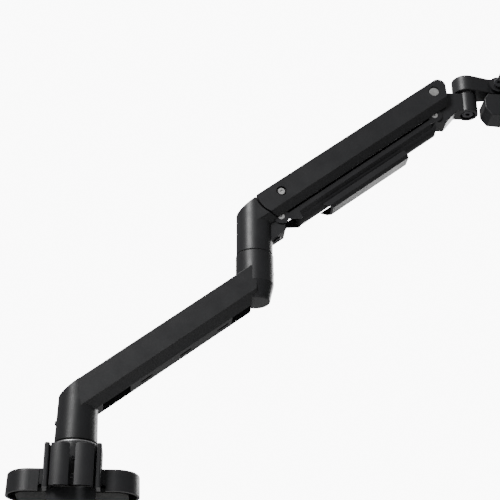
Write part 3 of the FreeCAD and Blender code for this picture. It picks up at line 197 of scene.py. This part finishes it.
def paint_nodes():
    for part in frame["record"]["subparts"]:
        mesh = NODES[part["node"]].data
        mesh.materials.clear()
        mesh.materials.append(FINISHES[part["material_slot"]])


# ---------------------------------------------------------------- broken edges
# Width in millimetres of each node's broken edges, and the turn between faces that makes an edge sharp.
BROKEN_EDGES = {
    "lower_arm": 0.5, "upper_arm": 0.5, "elbow_bracket": 0.45, "head_bracket": 0.4, "pan_knuckle": 0.4,
    "tilt_bracket": 0.35, "vesa_plate": 0.3, "clamp_bracket": 0.35, "lower_jaw": 0.35, "base_housing": 0.3,
    "lower_link": 0.25, "clamp_knob": 0.4,
}
SHARP_TURN = math.radians(38)


def break_edges():
    """Gives the sharp edges of the castings, mouldings and plates a small radius that catches the light."""
    for name, width in BROKEN_EDGES.items():
        bevel = NODES[name].modifiers.new("edge", "BEVEL")
        bevel.width = width * MM
        bevel.segments = 2
        bevel.limit_method = "ANGLE"
        bevel.angle_limit = SHARP_TURN
        bevel.use_clamp_overlap = True
        bevel.harden_normals = True


# ---------------------------------------------------------------- clamp screw
THREAD_PITCH = 1.5 * MM
CREST, ROOT = 4.95 * MM, 4.1 * MM
SHANK_RADIUS, TIP_RADIUS = 4.9 * MM, 4.15 * MM
SHANK_LENGTH, TIP_LENGTH = 17 * MM, 9 * MM
THREAD_SIDES = 40
ROD_SIDES = 48
# One turn of the thread seen from the side: the share of the pitch, and the radius there.
THREAD_PROFILE = ((0.0, ROOT), (0.3, ROOT), (0.42, CREST), (0.88, CREST), (1.0, ROOT))


def mesh_piece(name, verts, faces, body, slot, smooth=True):
    mesh = bpy.data.meshes.new(name)
    mesh.from_pydata(verts, [], faces)
    mesh.update()
    for polygon in mesh.polygons:
        polygon.use_smooth = smooth
    obj = bpy.data.objects.new(name, mesh)
    bpy.context.scene.collection.objects.link(obj)
    mesh.materials.append(FINISHES[slot])
    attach(obj, body)
    return obj


def thread_mesh(start, end):
    """The profile wound up a helix, and held between the two heights where it would pass them."""
    segments = int((end - start) / THREAD_PITCH) * THREAD_SIDES
    row = len(THREAD_PROFILE)
    verts = []
    for k in range(segments + 1):
        angle = 2 * math.pi * k / THREAD_SIDES
        for level, radius in THREAD_PROFILE:
            z = start + (k / THREAD_SIDES - 0.5 + level) * THREAD_PITCH
            verts.append((radius * math.cos(angle), radius * math.sin(angle), min(max(z, start), end)))
    corners = [k * row + j for k in range(segments) for j in range(row - 1)]
    return verts, [(a, a + row, a + row + 1, a + 1) for a in corners]


def rod_mesh(bottom, top, radius):
    angles = [2 * math.pi * i / ROD_SIDES for i in range(ROD_SIDES)]
    verts = [(radius * math.cos(a), radius * math.sin(a), z) for z in (bottom, top) for a in angles]
    after = [(i + 1) % ROD_SIDES for i in range(ROD_SIDES)]
    faces = [(i, after[i], ROD_SIDES + after[i], ROD_SIDES + i) for i in range(ROD_SIDES)]
    faces += [tuple(reversed(range(ROD_SIDES))), tuple(range(ROD_SIDES, 2 * ROD_SIDES))]
    return verts, faces


def make_clamp_screw():
    """The clamp screw: a real trapezoid thread between a plain shank below and a plain tip above."""
    low, high = (corner[2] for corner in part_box("clamp_screw"))
    start, end = low + SHANK_LENGTH, high - TIP_LENGTH
    thread = mesh_piece("clamp_thread", *thread_mesh(start, end), "clamp_screw_body", "bright_steel")
    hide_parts("clamp_screw")
    for name, bottom, top, radius in (("clamp_screw_shank", low, start + THREAD_PITCH, SHANK_RADIUS),
                                      ("clamp_screw_tip", end - THREAD_PITCH, high, TIP_RADIUS)):
        rod = rod_mesh(bottom, top, radius)
        mesh_piece(name, *rod, "clamp_screw_body", "bright_steel", smooth=False)


# ---------------------------------------------------------------- studio
FLOOR_LEVEL = -0.75
FLOOR_SIZE = 14
WHITE = (1, 1, 1, 1)
ROOM_BELOW, ROOM_ABOVE = 0.1, 0.4
ROOM_RISE_FROM, ROOM_RISE_TO = -0.3, 0.6
BACKDROP = 10.0


def make_floor():
    bpy.ops.mesh.primitive_plane_add(size=FLOOR_SIZE, location=(0, 0, FLOOR_LEVEL))
    floor = bpy.context.object
    floor.name = "floor"
    f = Finish("pale_floor")
    f.tint(f.noise(1.2, 3), (0.86, 0.86, 0.86), (0.9, 0.9, 0.9))
    f.gloss(f.noise(8, 3), 0.85, 0.92)
    floor.data.materials.append(f.material)


def make_world():
    """A white backdrop for the eye and a dim room, darker below than above, for the light."""
    world = bpy.data.worlds.new("studio")
    bpy.context.scene.world = world
    world.use_nodes = True
    nodes, link = world.node_tree.nodes, world.node_tree.links.new
    room = nodes["Background"]
    room.inputs["Color"].default_value = WHITE
    axes = nodes.new("ShaderNodeSeparateXYZ")
    link(nodes.new("ShaderNodeTexCoord").outputs["Generated"], axes.inputs["Vector"])
    rise = nodes.new("ShaderNodeMapRange")
    rise.inputs["From Min"].default_value = ROOM_RISE_FROM
    rise.inputs["From Max"].default_value = ROOM_RISE_TO
    rise.inputs["To Min"].default_value = ROOM_BELOW
    rise.inputs["To Max"].default_value = ROOM_ABOVE
    link(axes.outputs["Z"], rise.inputs["Value"])
    link(rise.outputs["Result"], room.inputs["Strength"])
    backdrop = nodes.new("ShaderNodeBackground")
    backdrop.inputs["Color"].default_value = WHITE
    backdrop.inputs["Strength"].default_value = BACKDROP
    seen = nodes.new("ShaderNodeMixShader")
    link(nodes.new("ShaderNodeLightPath").outputs["Is Camera Ray"], seen.inputs["Fac"])
    link(room.outputs["Background"], seen.inputs[1])
    link(backdrop.outputs["Background"], seen.inputs[2])
    link(seen.outputs["Shader"], nodes["World Output"].inputs["Surface"])


def soft_light(name, place, target, wide, tall, watts, spread=60):
    """A rectangular light at place, in metres, turned towards target."""
    data = bpy.data.lights.new(name, "AREA")
    data.shape = "RECTANGLE"
    data.size, data.size_y, data.energy = wide, tall, watts
    data.spread = math.radians(spread)
    light = bpy.data.objects.new(name, data)
    light.location = place
    light.rotation_euler = (Vector(target) - light.location).to_track_quat("-Z", "Y").to_euler()
    bpy.context.scene.collection.objects.link(light)


def make_lights():
    soft_light("left_key", (-1.3, -2.0, 1.9), (0.35, 0, 0.5), 0.8, 1.4, 19)
    soft_light("rim", (1.4, 1.5, 1.2), (0.25, 0, 0.35), 0.9, 1.5, 5)
    soft_light("top", (0.3, 0.4, 2.3), (0.3, 0, 0.4), 2.0, 1.4, 26, 150)


def make_camera():
    """The viewpoint: behind the desk and below its top, looking up at the side of the arm."""
    place = Vector((0.0889, -1.4090, -0.3713))
    pitch, yaw, roll = 0.462, 0.087, -0.007
    forward = Vector((math.sin(yaw) * math.cos(pitch), math.cos(yaw) * math.cos(pitch), math.sin(pitch)))
    right = Vector((math.cos(yaw), -math.sin(yaw), 0))
    up = right.cross(forward)
    rolled = right * math.cos(roll) + up * math.sin(roll)
    upright = -right * math.sin(roll) + up * math.cos(roll)
    data = bpy.data.cameras.new("camera")
    data.sensor_width = 36
    data.lens = 86.54
    data.clip_end = 50
    camera = bpy.data.objects.new("camera", data)
    turn = Matrix((rolled, upright, -forward)).transposed()
    camera.matrix_world = Matrix.Translation(place) @ turn.to_4x4()
    bpy.context.scene.collection.objects.link(camera)
    bpy.context.scene.camera = camera


make_camera()
make_floor()
make_world()
make_lights()
paint_nodes()
break_edges()
make_clamp_screw()
